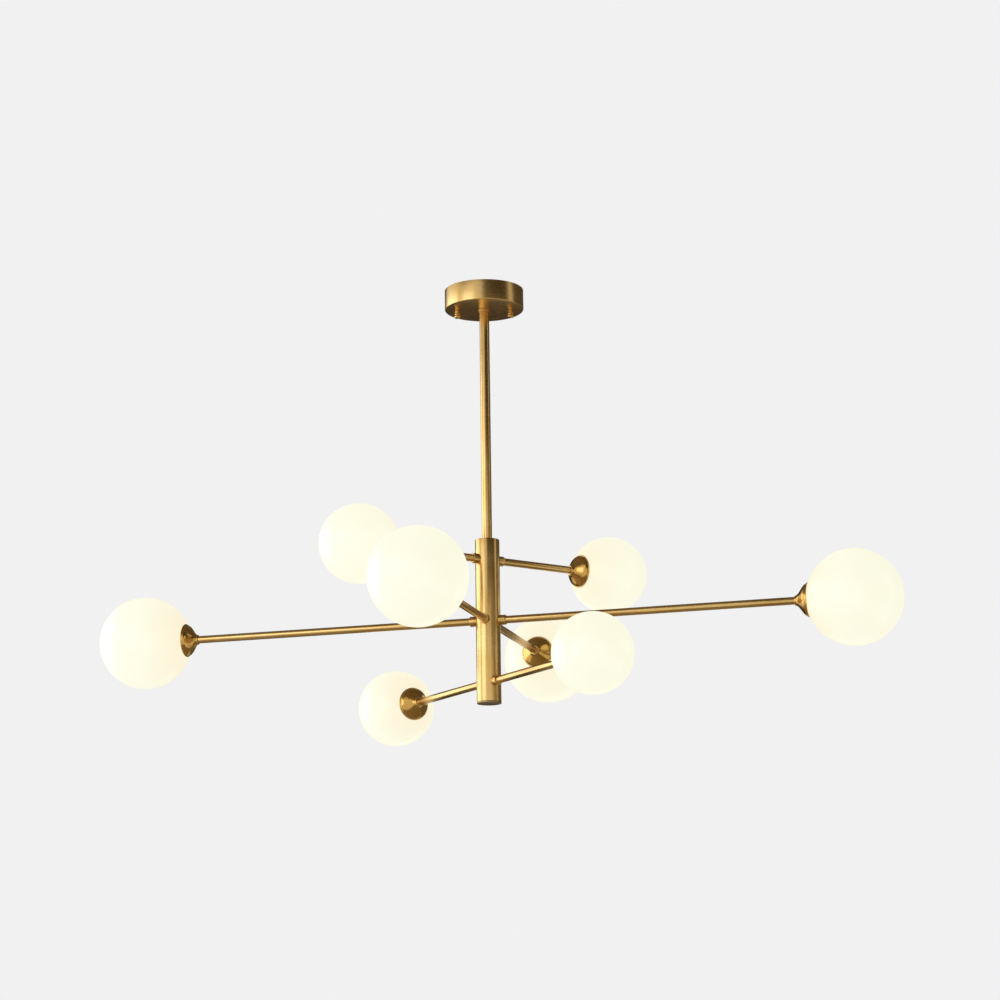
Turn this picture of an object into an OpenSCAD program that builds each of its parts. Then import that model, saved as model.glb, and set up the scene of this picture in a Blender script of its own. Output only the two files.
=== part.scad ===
// Branch chandelier: a ceiling canopy and a down rod carry a vertical hub tube.
// Four crossbars pass through the hub at three levels, each with a glass globe at both ends.
// Millimetres. The hub's axis is Z, the ceiling is z = 0, and +X runs along the long crossbar.

/* [Canopy] */
// Outer diameter of the canopy
canopy_d = 128; // [118:1:150]
// Height of the canopy from the ceiling to its lower face
canopy_h = 33; // [30:1:45]
// Thickness of the canopy's sheet
canopy_wall = 1.5; // [1:0.1:2]
// Radius of the canopy's lower edge
canopy_edge_r = 1.5; // [0.5:0.1:3]
// Turn of the canopy and its bracket about the rod, in degrees
canopy_turn = 15; // [0:1:40]

/* [Ceiling bracket] */
// Width of the bracket strap
strap_w = 25; // [20:1:30]
// Thickness of the bracket strap
strap_t = 2; // [1.5:0.1:3]
// Length of the strap's middle, which lies on the ceiling
strap_mid_len = 68; // [64:1:70]
// Overall length of the strap
strap_len = 106; // [102:1:108]
// Drop of the strap's ends below its middle
strap_drop = 6; // [5:0.1:8]
// Distance between the two ceiling screw holes
screw_spacing = 50; // [46:1:54]
// Diameter of the ceiling screw holes
screw_hole_d = 4.5; // [4:0.1:5.5]
// Distance between the two studs that carry the canopy
stud_spacing = 87; // [85:1:92]
// Diameter of the studs
stud_d = 4; // [3:0.1:5]
// Width across flats of the stud nuts
stud_nut_af = 7; // [6.5:0.1:9]
// Height of a stud nut
stud_nut_h = 2.6; // [2:0.1:3]

/* [Cap nuts] */
// Diameter of a cap nut
cap_nut_d = 11; // [10:0.1:13]
// Height of a cap nut below the canopy
cap_nut_h = 13.5; // [12:0.5:15]
// Diameter of a cap nut's post
cap_nut_waist_d = 7.6; // [7.2:0.1:8.6]
// Height of that post above the bead
cap_nut_post_h = 4.5; // [3:0.1:5]
// Diameter of the bead between the post and the knob
cap_nut_bead_d = 9.6; // [9:0.1:10]
// Height of that bead
cap_nut_bead_h = 3.2; // [2.6:0.1:3.6]

/* [Terminal block] */
// Length of the terminal block
block_len = 30; // [26:1:32]
// Width of the terminal block
block_w = 18; // [16:1:20]
// Height of the terminal block
block_h = 13; // [11:0.5:14]
// Number of terminals
block_poles = 3; // [2:1:4]

/* [Rod] */
// Outer diameter of the rod
rod_d = 16; // [15.5:0.5:18]
// Wall of the rod's tube
rod_wall = 1.2; // [1:0.1:1.4]
// Visible length of the rod
rod_len = 381; // [200:1:900]
// Diameter of the flange at the rod's top
flange_d = 19; // [18.5:0.5:30]
// Height of that flange
flange_h = 2.5; // [2:0.5:6]
// Length of the threaded bushings in the rod's ends
bushing_len = 15; // [12:1:25]

/* [Hollow threaded nipples] */
// Outer diameter of the nipples
nipple_d = 9.9; // [9.5:0.1:9.9]
// Bore of the nipples, for the leads
nipple_bore = 7; // [6.4:0.1:7.2]
// Reach of a nipple into the rod, the hub or an arm
nipple_reach = 12; // [10:1:14]
// Width across flats of the lock nuts
lock_nut_af = 13; // [12:0.1:13.5]
// Height of a lock nut
lock_nut_h = 3; // [2.5:0.1:3]
// Thickness of the flat washers under the lock nuts
washer_t = 1.2; // [0.8:0.1:1.5]
// Thickness of the saddle washers inside the hub
saddle_t = 3; // [2.6:0.1:3.4]

/* [Hub] */
// Outer diameter of the hub tube
hub_d = 39; // [39:0.5:48]
// Wall of the hub tube
hub_wall = 2; // [1.5:0.1:2]
// Length of the hub with its bottom cap
hub_len = 264; // [259:1:300]
// Distance from the hub's top to the upper crossbar
upper_drop = 32; // [20:1:37]
// Distance between the levels of the crossbars
level_pitch = 99; // [80:1:100]
// Thickness of the plug in the hub's top
plug_h = 4; // [3:0.5:6]
// Thickness of the bottom cap's disc
cap_disc_h = 2; // [1.5:0.1:4]
// Length of the bottom cap's threaded spigot
cap_spigot_h = 8; // [5:0.5:10]
// Radius of the hub's top edge
hub_edge_r = 0.8; // [0.3:0.1:1.2]

/* [Crossbars] */
// Half length of the long crossbar, from the hub's axis to a globe's centre
long_half = 585; // [450:5:750]
// Half length of the cross crossbar
cross_half = 375; // [300:5:500]
// Half length of the upper crossbar
upper_half = 240; // [200:5:320]
// Half length of the lower crossbar
lower_half = 300; // [250:5:400]
// Angle from the long crossbar to the cross crossbar, in degrees
cross_angle = 90; // [80:1:100]
// Angle from the long crossbar to the upper crossbar, in degrees
upper_angle = 50; // [46:1:54]
// Angle from the long crossbar to the lower crossbar, in degrees
lower_angle = -43; // [-46:1:-40]
// Outer diameter of the arm tubes
arm_d = 12; // [12:0.5:14]
// Bore of the arm tubes
arm_bore = 10; // [10:0.1:10.4]
// Diameter of the collars where the arms meet the hub
collar_d = 16; // [15:0.5:20]
// Length of those collars
collar_len = 10; // [6:0.5:16]

/* [Cups] */
// Diameter of a cup's rim
cup_rim_d = 54; // [50:0.5:58]
// Length of a cup from its small end to its rim
cup_len = 22; // [21:0.5:24]
// Wall of a cup's small end, round the arm
cup_tip_wall = 2; // [1.8:0.1:3]
// Radius of the edge at the small end
cup_tip_r = 1; // [0.6:0.1:1.4]
// Curve of the bell: less opens sooner
cup_flare = 0.95; // [0.85:0.05:1]
// Thickness of the round lip along the rim
cup_lip_h = 2; // [1.2:0.1:2.2]
// Step of that lip out from the flare
cup_lip_step = 0.4; // [0.2:0.1:1]
// Width of the rim's end face
cup_rim_w = 1.5; // [1.2:0.1:2]
// Thickness of the cup's floor
cup_floor = 7.6; // [7.4:0.1:8]
// Depth that an arm goes into its cup
arm_seat = 2; // [1:0.1:3]
// Length of the threaded socket inside the cup
cup_socket_len = 8.7; // [8:0.1:9]

/* [Glass globes] */
// Outer diameter of the globes on the long and the cross crossbar
globe_large_d = 150; // [130:1:180]
// Outer diameter of the globes on the upper and the lower crossbar
globe_small_d = 125; // [110:1:140]
// Thickness of the glass
glass_wall = 2.5; // [2:0.1:2.6]
// Outer diameter of the globe's threaded neck
neck_d = 22; // [21.8:0.1:22.4]

/* [Lamp parts] */
// Diameter of a lampholder
holder_d = 16; // [15:0.1:16.2]
// Length of a lampholder beyond the cup's floor
holder_len = 19.5; // [18:0.5:24]
// Length of a lampholder's threaded stub inside the arm
holder_stub_len = 10; // [8:0.5:14]
// Bore of that stub, for the lead
holder_stub_bore = 6; // [5:0.1:6.5]
// Distance between a bulb's two pins
pin_spacing = 9; // [8:0.1:9.5]
// Diameter of a bulb's pin
pin_d = 1; // [0.8:0.1:1.2]
// Length of a bulb's pins
pin_len = 6; // [5:0.5:7]
// Diameter of a bulb
bulb_d = 16; // [14:0.5:16.5]
// Length of a bulb without its pins
bulb_len = 42; // [36:1:46]
// Length of the bulb's base
bulb_base_len = 10; // [8:0.5:12]
// Diameter of the bulb's base
bulb_base_d = 14; // [12:0.5:15]
// Thickness of the seal ring at the end of a globe's neck
seal_t = 1.8; // [1.4:0.1:2]
// Width of the seal ring's band
seal_w = 2.8; // [2:0.1:2.8]

/* [Wiring] */
// Diameter of a lamp's lead
lead_d = 3.2; // [2.6:0.1:3.4]
// Distance of the upright leads from the hub's axis
lead_ring_r = 7.5; // [7:0.1:7.6]
// Bend radius of a lead where it turns upright
lead_bend_r = 3; // [2.6:0.1:3]
// Diameter of the supply lead in the rod
supply_d = 6; // [5:0.1:6.2]
// Diameter of the junction in the hub
junction_d = 22; // [20:0.5:24]
// Height of the junction
junction_h = 26; // [20:1:32]
// Depth that the leads go into the junction and the terminal block
lead_seat = 3; // [2:0.5:4]

/* [Clearances] */
// Radial clearance where one fixed piece passes through another
fit_gap = 0.1; // [0.05:0.01:0.15]
// Radial running clearance of the screwed pieces that turn
run_gap = 0.05; // [0.03:0.01:0.08]
// Clearance between the glass or its seal and the cup
glass_gap = 0.3; // [0.25:0.01:0.4]
// Clearance between a turning piece's face and the face it closes on
face_gap = 0.2; // [0.1:0.01:0.3]

/* [Hidden] */

$fn = 96;
steps_per_quarter = 4;
flare_steps = 16;
dome_steps = 10;

brass = "#b8924f";
brass_dark = "#7d6233";
zinc = "#a9adb1";
opal = "#fff3d6";
ceramic = "#f2f0ea";
silicone = "#d9d9d9";
cable = "#e9e6df";
plastic = "#f5f5f0";

// Heights of the main joints
canopy_z = -canopy_h;
rod_top_z = canopy_z - flange_h;
hub_top_z = rod_top_z - rod_len;
upper_z = hub_top_z - upper_drop;
middle_z = upper_z - level_pitch;
lower_z = middle_z - level_pitch;
hub_bottom_z = hub_top_z - hub_len;
hub_tube_len = hub_len - cap_disc_h - face_gap;
junction_z = (upper_z + middle_z) / 2;

hub_r = hub_d / 2;
hub_bore_r = hub_r - hub_wall;
rod_bore_r = rod_d / 2 - rod_wall;
nipple_r = nipple_d / 2;
arm_r = arm_d / 2;
thread_hole_r = nipple_r + fit_gap;

// Places of the lock nuts and the nipples' inner ends, measured from the hub's axis
washer_x = hub_bore_r - saddle_t;
lock_nut_x = washer_x - lock_nut_h;
nipple_in_x = lock_nut_x - 1;
arm_root_x = hub_r + 0.5;

// The cup and what it holds, measured from its small end along the arm
rim_r = cup_rim_d / 2;
mouth_r = rim_r - cup_rim_w;
socket_r = neck_d / 2 + glass_gap;
socket_end = cup_floor + cup_socket_len;
seal_z = cup_floor + glass_gap;
neck_end = seal_z + seal_t + glass_gap;
neck_bore_r = neck_d / 2 - glass_wall;
holder_end = cup_floor + holder_len;

// Each light: level height, angle about the hub, distance of the globe's centre, globe radius
LIGHTS = [
    [middle_z, 0, long_half, globe_large_d / 2],
    [upper_z, upper_angle, upper_half, globe_small_d / 2],
    [middle_z, cross_angle, cross_half, globe_large_d / 2],
    [lower_z, lower_angle + 180, lower_half, globe_small_d / 2],
    [middle_z, 180, long_half, globe_large_d / 2],
    [upper_z, upper_angle + 180, upper_half, globe_small_d / 2],
    [middle_z, cross_angle + 180, cross_half, globe_large_d / 2],
    [lower_z, lower_angle, lower_half, globe_small_d / 2]
];
function level_of(k) = LIGHTS[k - 1][0];
function angle_of(k) = LIGHTS[k - 1][1];
function reach_of(k) = LIGHTS[k - 1][2];
function globe_r(k) = LIGHTS[k - 1][3];
// From a cup's small end to its globe's centre, so that the mouth clears the glass by glass_gap
function centre_z(k) = cup_len + sqrt(pow(globe_r(k) + glass_gap, 2) - pow(mouth_r, 2));
function tip_x(k) = reach_of(k) - centre_z(k);
// The bell's opening, from 0 at a cup's small end to 1 at its lip
function bell(t) = (1 - cos(180 * pow(t, cup_flare))) / 2;
// Points of an arc of radius r about c, from angle a to angle b
function arc(c, r, a, b) =
    let (steps = steps_per_quarter * abs(b - a) / 90)
    [for (i = [0:steps]) let (t = a + (b - a) * i / steps) c + r * [cos(t), sin(t)]];

// The frame of light k: X runs out along its arm from the hub's axis
module on_arm(k) {
    translate([0, 0, level_of(k)])
        rotate([0, 0, angle_of(k)])
            children();
}

// The same frame with Z along the arm and its origin at distance x from the hub's axis
module along_arm(k, x) {
    on_arm(k)
        translate([x, 0, 0])
            rotate([0, 90, 0])
                children();
}

module ring(outer_r, bore_r, h) {
    difference() {
        cylinder(r = outer_r, h = h);
        translate([0, 0, -1])
            cylinder(r = bore_r, h = h + 2);
    }
}

module hex_nut(across_flats, bore_r, h) {
    difference() {
        cylinder(d = across_flats / cos(30), h = h, $fn = 6);
        translate([0, 0, -1])
            cylinder(r = bore_r, h = h + 2);
    }
}

module at_studs() {
    for (side = [-1, 1])
        rotate([0, 0, canopy_turn])
            translate([side * stud_spacing / 2, 0, 0])
                children();
}

// Ceiling fixing

module ceiling_bracket() {
    mid = strap_mid_len / 2;
    end = strap_len / 2;
    step = strap_drop - strap_t / 2;
    color(zinc)
        rotate([0, 0, canopy_turn])
            difference() {
                rotate([90, 0, 0])
                    translate([0, 0, -strap_w / 2])
                        linear_extrude(strap_w)
                            polygon([
                                [-mid, 0], [mid, 0],
                                [mid + step / 2, -strap_drop], [end, -strap_drop],
                                [end, -strap_drop - strap_t], [mid + step / 2 - strap_t, -strap_drop - strap_t],
                                [mid - strap_t, -strap_t], [-mid + strap_t, -strap_t],
                                [-mid - step / 2 + strap_t, -strap_drop - strap_t], [-end, -strap_drop - strap_t],
                                [-end, -strap_drop], [-mid - step / 2, -strap_drop]
                            ]);
                for (side = [-1, 1]) {
                    translate([side * screw_spacing / 2, 0, -strap_t - 1])
                        cylinder(d = screw_hole_d, h = strap_t + 2);
                    translate([side * stud_spacing / 2, 0, -strap_drop - strap_t - 1])
                        cylinder(r = stud_d / 2 + fit_gap, h = strap_t + 2);
                }
            }
}

module bracket_studs() {
    top = -strap_drop + stud_nut_h + 0.5;
    bottom = canopy_z - face_gap - cap_nut_h + cap_nut_d / 4;
    color(zinc)
        at_studs()
            translate([0, 0, bottom])
                cylinder(d = stud_d, h = top - bottom);
}

module stud_nuts() {
    bore = stud_d / 2 + fit_gap;
    color(zinc)
        at_studs() {
            translate([0, 0, -strap_drop])
                hex_nut(stud_nut_af, bore, stud_nut_h);
            translate([0, 0, -strap_drop - strap_t - stud_nut_h])
                hex_nut(stud_nut_af, bore, stud_nut_h);
        }
}

module terminal_block() {
    pitch = block_len / block_poles;
    entry_d = min(3.2, pitch / 2);
    color(plastic)
        rotate([0, 0, canopy_turn])
            difference() {
                translate([-block_len / 2, -block_w / 2, -strap_t - block_h])
                    cube([block_len, block_w, block_h]);
                translate([0, 0, -strap_t - block_h - 1])
                    cylinder(r = supply_d / 2 + fit_gap, h = lead_seat + 1);
                for (i = [0:block_poles - 1])
                    translate([(i + 0.5) * pitch - block_len / 2, -block_w / 2 - 1, -strap_t - block_h / 2])
                        rotate([-90, 0, 0])
                            cylinder(d = entry_d, h = 5);
            }
}

module canopy() {
    r = canopy_d / 2;
    color(brass)
        difference() {
            rotate_extrude()
                polygon(concat(
                    [[thread_hole_r, canopy_z]],
                    arc([r - canopy_edge_r, canopy_z + canopy_edge_r], canopy_edge_r, -90, 0),
                    [[r, 0], [r - canopy_wall, 0], [r - canopy_wall, canopy_z + canopy_wall],
                     [thread_hole_r, canopy_z + canopy_wall]]
                ));
            at_studs()
                translate([0, 0, canopy_z - 1])
                    cylinder(r = stud_d / 2 + glass_gap, h = canopy_wall + 2);
        }
}

// One cap nut: a post, a bead and a round knob over a blind thread
module cap_nut(side) {
    r = cap_nut_d / 2;
    waist_r = cap_nut_waist_d / 2;
    bead_out = cap_nut_bead_d / 2 - waist_r;
    knob_z = cap_nut_post_h + cap_nut_bead_h;
    waist_turn = acos(waist_r / r);
    knob_b = (cap_nut_h - knob_z) / (1 + sin(waist_turn));
    bore_r = stud_d / 2 + run_gap;
    bore_h = cap_nut_h - cap_nut_d / 4 + 0.5;
    color(brass)
        rotate([0, 0, canopy_turn])
            translate([side * stud_spacing / 2, 0, canopy_z - face_gap])
                mirror([0, 0, 1])
                    rotate_extrude()
                        polygon(concat(
                            [[bore_r, 0], [waist_r, 0]],
                            [for (i = [0:dome_steps - 1]) let (t = i / dome_steps)
                                [waist_r + bead_out * sin(180 * t), cap_nut_post_h + cap_nut_bead_h * t]],
                            [for (i = [0:dome_steps - 1])
                                let (t = -waist_turn + (90 + waist_turn) * i / dome_steps)
                                [r * cos(t), cap_nut_h - knob_b + knob_b * sin(t)]],
                            [[0, cap_nut_h], [0, bore_h], [bore_r, bore_h]]
                        ));
}

// Rod

module top_nipple() {
    top = canopy_z + canopy_wall + washer_t + lock_nut_h + 3;
    bottom = rod_top_z - nipple_reach;
    color(zinc)
        translate([0, 0, bottom])
            ring(nipple_r, nipple_bore / 2, top - bottom);
}

module nipple_washers() {
    color(zinc) {
        translate([0, 0, canopy_z + canopy_wall])
            ring(lock_nut_af / 2 + 2, thread_hole_r, washer_t);
        translate([0, 0, hub_top_z - plug_h - washer_t])
            ring(lock_nut_af / 2 + 2, thread_hole_r, washer_t);
    }
}

module nipple_lock_nuts() {
    color(zinc) {
        translate([0, 0, canopy_z + canopy_wall + washer_t])
            hex_nut(lock_nut_af, thread_hole_r, lock_nut_h);
        translate([0, 0, hub_top_z - plug_h - washer_t - lock_nut_h])
            hex_nut(lock_nut_af, thread_hole_r, lock_nut_h);
    }
}

module rod_flange() {
    r = flange_d / 2;
    edge = min(0.6, flange_h / 4);
    color(brass)
        rotate_extrude()
            polygon([
                [thread_hole_r, rod_top_z], [r - edge, rod_top_z], [r, rod_top_z + edge],
                [r, canopy_z - edge], [r - edge, canopy_z], [thread_hole_r, canopy_z]
            ]);
}

module down_rod() {
    color(brass)
        translate([0, 0, hub_top_z])
            ring(rod_d / 2, rod_bore_r, rod_len);
}

module rod_bushings() {
    color(brass_dark)
        for (z = [hub_top_z, rod_top_z - bushing_len])
            translate([0, 0, z])
                ring(rod_bore_r - fit_gap / 2, thread_hole_r, bushing_len);
}

// Hub

module hub_tube() {
    color(brass)
        difference() {
            rotate_extrude()
                polygon(concat(
                    [[hub_bore_r, hub_top_z - hub_tube_len], [hub_r, hub_top_z - hub_tube_len]],
                    arc([hub_r - hub_edge_r, hub_top_z - hub_edge_r], hub_edge_r, 0, 90),
                    [[hub_bore_r, hub_top_z]]
                ));
            for (k = [1:8])
                along_arm(k, hub_bore_r / 2)
                    cylinder(r = thread_hole_r, h = hub_r);
        }
}

module hub_top_plug() {
    color(brass)
        translate([0, 0, hub_top_z - plug_h])
            ring(hub_bore_r - fit_gap / 2, thread_hole_r, plug_h);
}

module hub_nipple() {
    top = hub_top_z + nipple_reach;
    bottom = hub_top_z - plug_h - washer_t - lock_nut_h - 1;
    color(zinc)
        translate([0, 0, bottom])
            ring(nipple_r, nipple_bore / 2, top - bottom);
}

module hub_bottom_cap() {
    tube_end_z = hub_top_z - hub_tube_len;
    edge = min(0.5, cap_disc_h / 3);
    spigot_r = hub_bore_r - run_gap;
    color(brass_dark)
        rotate_extrude()
            polygon([
                [0, hub_bottom_z], [hub_r - edge, hub_bottom_z], [hub_r, hub_bottom_z + edge],
                [hub_r, tube_end_z - face_gap], [spigot_r, tube_end_z - face_gap],
                [spigot_r, tube_end_z + cap_spigot_h], [spigot_r - 3, tube_end_z + cap_spigot_h],
                [spigot_r - 3, tube_end_z], [0, tube_end_z]
            ]);
}

// Arms and their fixings at the hub

module arm(k) {
    color(brass)
        along_arm(k, arm_root_x)
            ring(arm_r, arm_bore / 2, tip_x(k) + arm_seat - arm_root_x);
}

module arm_collars() {
    color(brass)
        for (k = [1:8])
            difference() {
                along_arm(k, hub_bore_r)
                    ring(collar_d / 2, arm_r + fit_gap / 2, hub_wall + collar_len);
                translate([0, 0, level_of(k) - collar_d])
                    cylinder(r = hub_r + fit_gap / 2, h = 2 * collar_d);
            }
}

module arm_nipples() {
    color(zinc)
        for (k = [1:8])
            along_arm(k, nipple_in_x)
                ring(nipple_r, nipple_bore / 2, hub_r + nipple_reach - nipple_in_x);
}

// Saddle washers: flat towards the nut and round towards the hub's bore
module arm_washers() {
    color(zinc)
        for (k = [1:8])
            intersection() {
                along_arm(k, washer_x)
                    ring(lock_nut_af / 2 + 0.5, thread_hole_r, saddle_t);
                translate([0, 0, level_of(k) - lock_nut_af])
                    cylinder(r = hub_bore_r - fit_gap / 2, h = 2 * lock_nut_af);
            }
}

module arm_lock_nuts() {
    color(zinc)
        for (k = [1:8])
            along_arm(k, lock_nut_x)
                hex_nut(lock_nut_af, thread_hole_r, lock_nut_h);
}

// Cups, seals and globes

module cup(k) {
    tip_r = arm_r + cup_tip_wall;
    lip_r = cup_lip_h / 2;
    lip_z = cup_len - cup_lip_h;
    flare_r = rim_r - lip_r - cup_lip_step;
    color(brass)
        along_arm(k, tip_x(k))
            rotate_extrude()
                polygon(concat(
                    [[thread_hole_r, arm_seat], [arm_r + fit_gap / 2, arm_seat], [arm_r + fit_gap / 2, 0]],
                    arc([tip_r - cup_tip_r, cup_tip_r], cup_tip_r, -90, 0),
                    [for (i = [1:flare_steps]) let (t = i / flare_steps)
                        [tip_r + (flare_r - tip_r) * bell(t), cup_tip_r + (lip_z - cup_tip_r) * t]],
                    arc([rim_r - lip_r, cup_len - lip_r], lip_r, -90, 90),
                    [[mouth_r, cup_len], [socket_r, socket_end], [socket_r, cup_floor],
                     [thread_hole_r, cup_floor]]
                ));
}

module seal_ring(k) {
    color(silicone)
        along_arm(k, tip_x(k) + seal_z)
            ring(neck_d / 2, neck_d / 2 - seal_w, seal_t);
}

module globe(k) {
    r = globe_r(k);
    z = centre_z(k);
    color(opal)
        along_arm(k, tip_x(k))
            difference() {
                union() {
                    translate([0, 0, z])
                        sphere(r = r);
                    translate([0, 0, neck_end])
                        cylinder(d = neck_d, h = z - r / 2 - neck_end);
                }
                translate([0, 0, z])
                    sphere(r = r - glass_wall);
                translate([0, 0, neck_end - 1])
                    cylinder(r = neck_bore_r, h = z - neck_end);
            }
}

// Lamp parts

module lampholders() {
    pin_hole_r = pin_d / 2 + fit_gap;
    color(ceramic)
        for (k = [1:8])
            along_arm(k, tip_x(k))
                difference() {
                    union() {
                        translate([0, 0, cup_floor])
                            cylinder(d = holder_d, h = holder_len);
                        translate([0, 0, cup_floor - holder_stub_len])
                            cylinder(r = nipple_r, h = holder_stub_len + 1);
                    }
                    translate([0, 0, cup_floor - holder_stub_len - 1])
                        cylinder(d = holder_stub_bore, h = holder_stub_len + lead_seat + 1);
                    for (side = [-1, 1])
                        translate([side * pin_spacing / 2, 0, holder_end - pin_len - 1])
                            cylinder(r = pin_hole_r, h = pin_len + 2);
                }
}

module bulbs() {
    r = bulb_d / 2;
    base_r = bulb_base_d / 2;
    side_end = bulb_len - r;
    color(plastic)
        for (k = [1:8])
            along_arm(k, tip_x(k) + holder_end) {
                rotate_extrude()
                    polygon(concat(
                        [[0, 0], [base_r, 0], [base_r, bulb_base_len], [r, bulb_base_len + r - base_r]],
                        [for (i = [0:dome_steps - 1]) let (t = 90 * i / dome_steps)
                            [r * cos(t), side_end + r * sin(t)]],
                        [[0, bulb_len]]
                    ));
                for (side = [-1, 1])
                    translate([side * pin_spacing / 2, 0, -pin_len])
                        cylinder(d = pin_d, h = pin_len + 1);
            }
}

// Wiring

module supply_lead() {
    top = -strap_t - block_h + lead_seat;
    bottom = junction_z + junction_h / 2 - lead_seat;
    color(cable)
        translate([0, 0, bottom])
            cylinder(d = supply_d, h = top - bottom);
}

module lead_junction() {
    top = junction_z + junction_h / 2;
    color(plastic)
        difference() {
            translate([0, 0, junction_z - junction_h / 2])
                cylinder(d = junction_d, h = junction_h);
            translate([0, 0, top - lead_seat])
                cylinder(r = supply_d / 2 + fit_gap, h = lead_seat + 1);
            for (k = [1:8])
                rotate([0, 0, angle_of(k)])
                    translate([lead_ring_r, 0, level_of(k) > junction_z ? top - lead_seat
                        : junction_z - junction_h / 2 - 1])
                        cylinder(r = lead_d / 2 + fit_gap, h = lead_seat + 1);
        }
}

// A lamp's lead: along its arm, round a bend inside the hub, and upright to the junction
module lamp_lead(k) {
    up = level_of(k) < junction_z ? 1 : -1;
    r = lead_d / 2;
    outer_end = tip_x(k) + cup_floor + lead_seat - glass_gap;
    bend_x = lead_ring_r + lead_bend_r;
    upright = abs(level_of(k) - junction_z) - junction_h / 2 + lead_seat - lead_bend_r;
    on_arm(k) {
        translate([bend_x, 0, 0])
            rotate([0, 90, 0])
                cylinder(r = r, h = outer_end - bend_x);
        translate([bend_x, 0, up * lead_bend_r])
            rotate([90, 0, 0])
                rotate([0, 0, up > 0 ? 180 : 90])
                    rotate_extrude(angle = 90)
                        translate([lead_bend_r, 0])
                            circle(r = r);
        translate([lead_ring_r, 0, up > 0 ? lead_bend_r : -lead_bend_r - upright])
            cylinder(r = r, h = upright);
    }
}

module lamp_leads() {
    color(cable)
        for (k = [1:8])
            lamp_lead(k);
}

ceiling_bracket();
bracket_studs();
stud_nuts();
terminal_block();
canopy();
cap_nut(-1);  // cap_nut_left
cap_nut(1);  // cap_nut_right
top_nipple();
nipple_washers();
nipple_lock_nuts();
rod_flange();
down_rod();
rod_bushings();
hub_tube();
hub_top_plug();
hub_nipple();
hub_bottom_cap();
arm_collars();
arm_nipples();
arm_washers();
arm_lock_nuts();
supply_lead();
lead_junction();
lamp_leads();
lampholders();
bulbs();
for (k = [1:8]) {
    arm(k);
    cup(k);
    seal_ring(k);
    globe(k);
}
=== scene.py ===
"""Branch chandelier: finished pieces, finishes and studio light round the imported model.

Lengths are in metres, in the model's own frame: the hub's axis is Z, the ceiling is z = 0,
and +X runs along the long crossbar.
"""

import logging
import math
from dataclasses import dataclass, replace
from enum import Enum
from typing import Iterable, Optional, Sequence, Union

import bmesh
import bpy
from mathutils import Matrix, Vector


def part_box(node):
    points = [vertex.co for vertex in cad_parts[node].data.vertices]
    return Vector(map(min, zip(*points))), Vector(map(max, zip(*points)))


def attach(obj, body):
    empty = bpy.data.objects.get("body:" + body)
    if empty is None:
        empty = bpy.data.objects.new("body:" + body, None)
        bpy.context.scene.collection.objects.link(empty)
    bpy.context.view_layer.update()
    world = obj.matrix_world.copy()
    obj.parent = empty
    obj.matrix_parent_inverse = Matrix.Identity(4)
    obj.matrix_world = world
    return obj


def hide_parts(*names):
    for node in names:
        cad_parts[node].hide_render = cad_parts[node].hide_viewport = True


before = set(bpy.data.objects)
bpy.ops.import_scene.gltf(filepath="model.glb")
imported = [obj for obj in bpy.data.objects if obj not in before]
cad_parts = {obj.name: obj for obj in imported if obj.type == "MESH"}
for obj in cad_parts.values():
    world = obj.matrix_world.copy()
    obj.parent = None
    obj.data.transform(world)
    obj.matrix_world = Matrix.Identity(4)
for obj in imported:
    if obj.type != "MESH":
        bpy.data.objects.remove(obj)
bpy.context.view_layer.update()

LOG = logging.getLogger("chandelier")

MM = 0.001
FIT = 0.05 * MM  # the clearance between two pieces that fit into each other
RIGHT_ANGLE = math.pi / 2.0
FULL_TURN = 2.0 * math.pi
SHARP_ANGLE = math.radians(34)
POLE_RADIUS = 1e-7  # a ring narrower than this is a single point
FINE, ROUND, COARSE = 128, 64, 32  # spans round a turned shape

Tree = bpy.types.NodeTree
Node = bpy.types.Node
Socket = bpy.types.NodeSocket
Material = bpy.types.Material
Piece = bpy.types.Object
Value = Union[float, tuple, Socket]
Inputs = dict[Union[str, int], Value]
Triple = tuple[float, float, float]
Pair = tuple[float, float]
Profile = list[Triple]


class Slot(Enum):
    """The record's material slots that the pieces take their finishes from."""

    BRASS = "brass_satin"
    DARK_BRASS = "brass_dark"
    ZINC = "steel_zinc"
    OPAL = "opal_glass"
    CERAMIC = "holder_ceramic"
    BULB = "bulb_frosted"
    SILICONE = "seal_silicone"
    SHEATH = "lead_sheath"
    BLOCK = "block_plastic"


class Brushing(Enum):
    """Which way the fine lines in the brass run."""

    ROUND = "Brush marks"
    LENGTHWISE = "Drawn streaks"


class Tier(Enum):
    """The heights of the three levels of crossbars on the hub."""

    UPPER = -448.5 * MM
    MIDDLE = -547.5 * MM
    LOWER = -646.5 * MM


class GlobeSize(Enum):
    """The two stock globes, by their outer radius."""

    LARGE = 75.0 * MM
    SMALL = 62.5 * MM


# ---------------------------------------------------------------- node trees


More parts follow.
